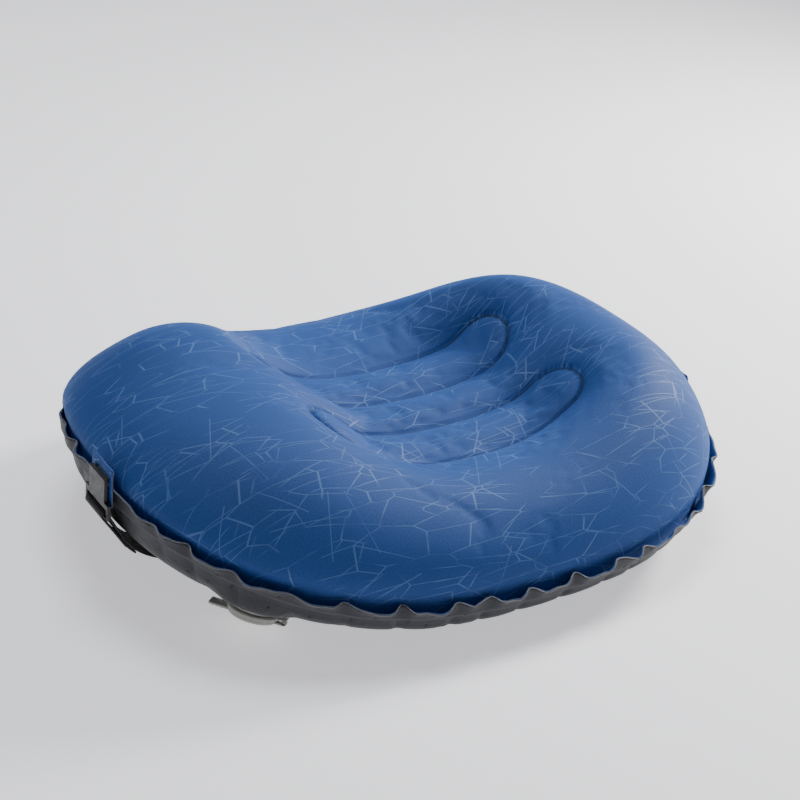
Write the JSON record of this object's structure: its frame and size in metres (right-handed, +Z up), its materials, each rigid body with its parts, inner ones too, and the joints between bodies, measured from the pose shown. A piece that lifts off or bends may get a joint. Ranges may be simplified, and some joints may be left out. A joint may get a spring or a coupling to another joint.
{
  "type": "camp pillow",
  "caption": "Inflatable camp pillow with a hollow for the head, a welded rim, an adjustable hook strap underneath and a two-way valve.",
  "frame": {"origin": "under the middle of the pillow, on the surface it rests on", "axes": "+X along the pillow's length, -Y towards the neck side, +Z up"},
  "size_m": [0.4506, 0.3378, 0.115],
  "materials": {
    "blue_fabric": "fine matt stretch knit with a soft sheen",
    "grey_fabric": "coated fabric with small dimples",
    "band_film": "thin weldable film",
    "webbing": "woven elastic webbing",
    "black_plastic": "satin moulded plastic",
    "thread": "dense stitching",
    "valve_plastic": "soft moulded plastic",
    "silicone": "thin silicone"
  },
  "bodies": {
    "root": {"top_panel": "blue_fabric", "bottom_panel": "grey_fabric", "tie_band_back": "band_film", "tie_band_front": "band_film", "tab_left": "blue_fabric", "tab_right": "blue_fabric", "strap_main": "webbing", "strap_slack": "webbing", "bartack_left": "thread", "valve_body": "valve_plastic", "valve_weld_ring": "valve_plastic", "plug_tether": "valve_plastic"},
    "plug": {"deflate_plug": "valve_plastic", "cap_tether": "valve_plastic"},
    "cap": {"inflate_cap": "valve_plastic"},
    "diaphragm": {"check_diaphragm": "silicone"},
    "hook_left_body": {"hook_left": "black_plastic"},
    "hook_right_body": {"hook_right": "black_plastic"},
    "slider": {"strap_slider": "black_plastic", "strap_end_loop": "webbing", "bartack_slider": "thread"}
  },
  "joints": [
    {"name": "plug_hinge", "type": "hinge", "parent": "root", "child": "plug", "pos_m": [-0.14276, -0.10997, 0.01332], "axis": [-0.6389, -0.7119, 0.2916], "range_deg": [0, 75]},
    {"name": "cap_hinge", "type": "hinge", "parent": "plug", "child": "cap", "pos_m": [-0.14397, -0.11043, 0.00954], "axis": [-0.6389, -0.7119, 0.2916], "range_deg": [0, 105]},
    {"name": "diaphragm_lift", "type": "slide", "parent": "plug", "child": "diaphragm", "axis": [0.3019, 0.1166, 0.9462], "range_m": [0, 0.0012], "stiffness_N_per_m": 40},
    {"name": "hook_left_swing", "type": "hinge", "parent": "root", "child": "hook_left_body", "pos_m": [-0.2223, -0.022, 0.05772], "axis": [0, -1, 0], "range_deg": [0, 75]},
    {"name": "hook_right_swing", "type": "hinge", "parent": "root", "child": "hook_right_body", "pos_m": [0.2223, -0.022, 0.03786], "axis": [0, 1, 0], "range_deg": [0, 75]},
    {"name": "slider_slide", "type": "slide", "parent": "root", "child": "slider", "axis": [1, 0, 0], "range_m": [0, 0.068], "deforming": ["strap_slack"]}
  ]
}
